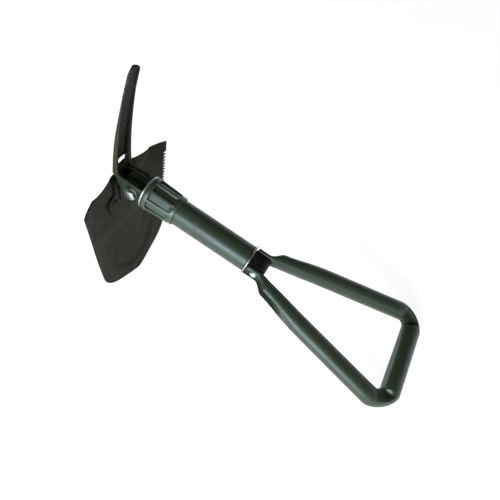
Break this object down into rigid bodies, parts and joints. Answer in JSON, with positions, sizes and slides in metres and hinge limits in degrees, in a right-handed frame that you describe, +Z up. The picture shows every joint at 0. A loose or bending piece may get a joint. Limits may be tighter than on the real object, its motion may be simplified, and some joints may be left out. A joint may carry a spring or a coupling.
{
  "type": "folding camp shovel with pick",
  "caption": "Folding camp shovel: dished blade with a saw edge, channel-section pick, ribbed screw collar and a triangular tube grip.",
  "frame": {"origin": "on the ground, below the middle of the shovel as it stands on its blade tip and grip", "axes": "+X from the blade towards the grip, +Y along the pivot bolt to its nut, +Z up"},
  "size_m": [0.4192, 0.1478, 0.3343],
  "materials": {
    "shovel_blade": "olive drab enamel, satin",
    "blade_bracket": "olive drab enamel, satin",
    "bracket_rivet_near": "olive drab enamel, satin",
    "bracket_rivet_far": "olive drab enamel, satin",
    "pick": "olive drab enamel, satin",
    "lock_collar": "olive drab enamel, satin",
    "shaft_tube": "olive drab enamel, satin",
    "grip_tube": "olive drab enamel, satin",
    "thrust_ring": "bright zinc plate",
    "end_plate": "bright zinc plate",
    "pivot_bolt": "bright zinc plate",
    "pivot_nut": "bright zinc plate",
    "bolt_washer": "bright zinc plate",
    "nut_washer": "bright zinc plate",
    "spacer_washer_near": "bright zinc plate",
    "spacer_washer_far": "bright zinc plate",
    "hinge_rivet": "bright zinc plate",
    "hinge_washer_near": "bright zinc plate",
    "hinge_washer_far": "bright zinc plate",
    "head_tongue": "dark oiled steel",
    "threaded_barrel": "dark oiled steel",
    "barrel_pin": "dark oiled steel",
    "shaft_pin": "dark oiled steel",
    "grip_tongue": "dark oiled steel"
  },
  "bodies": {
    "shaft": {"shaft_tube": "shaft_tube", "end_plate": "end_plate", "grip_tongue": "grip_tongue", "hinge_rivet": "hinge_rivet", "hinge_washer_near": "hinge_washer_near", "hinge_washer_far": "hinge_washer_far", "head_tongue": "head_tongue", "threaded_barrel": "threaded_barrel", "barrel_pin": "barrel_pin", "shaft_pin": "shaft_pin", "pivot_bolt": "pivot_bolt", "pivot_nut": "pivot_nut", "bolt_washer": "bolt_washer", "nut_washer": "nut_washer", "spacer_washer_near": "spacer_washer_near", "spacer_washer_far": "spacer_washer_far"},
    "blade": {"shovel_blade": "shovel_blade", "blade_bracket": "blade_bracket", "bracket_rivet_near": "bracket_rivet_near", "bracket_rivet_far": "bracket_rivet_far"},
    "pick": {"pick": "pick"},
    "grip": {"grip_tube": "grip_tube"},
    "ring": {"thrust_ring": "thrust_ring"},
    "collar": {"lock_collar": "lock_collar"}
  },
  "joints": [
    {"name": "blade_hinge", "type": "hinge", "parent": "shaft", "child": "blade", "pos_m": [-0.11512, 0, 0.1906], "axis": [0, 1, 0], "range_deg": [-82, 98]},
    {"name": "pick_hinge", "type": "hinge", "parent": "shaft", "child": "pick", "pos_m": [-0.11512, 0, 0.1906], "axis": [0, 1, 0], "range_deg": [0, 87]},
    {"name": "grip_hinge", "type": "hinge", "parent": "shaft", "child": "grip", "pos_m": [0.02882, 0, 0.10813], "axis": [0, -1, 0], "range_deg": [0, 95]},
    {"name": "ring_slide", "type": "slide", "parent": "shaft", "child": "ring", "axis": [0.8677, 0, -0.4971], "range_m": [0, 0.006]},
    {"name": "collar_turn", "type": "hinge", "parent": "ring", "child": "collar", "pos_m": [-0.10384, 0, 0.18414], "axis": [0.8677, 0, -0.4971], "range_deg": [0, 720]}
  ],
  "couplings": [
    {"joint": "ring_slide", "follows": "collar_turn", "m_per_rad": 0.00047746}
  ]
}
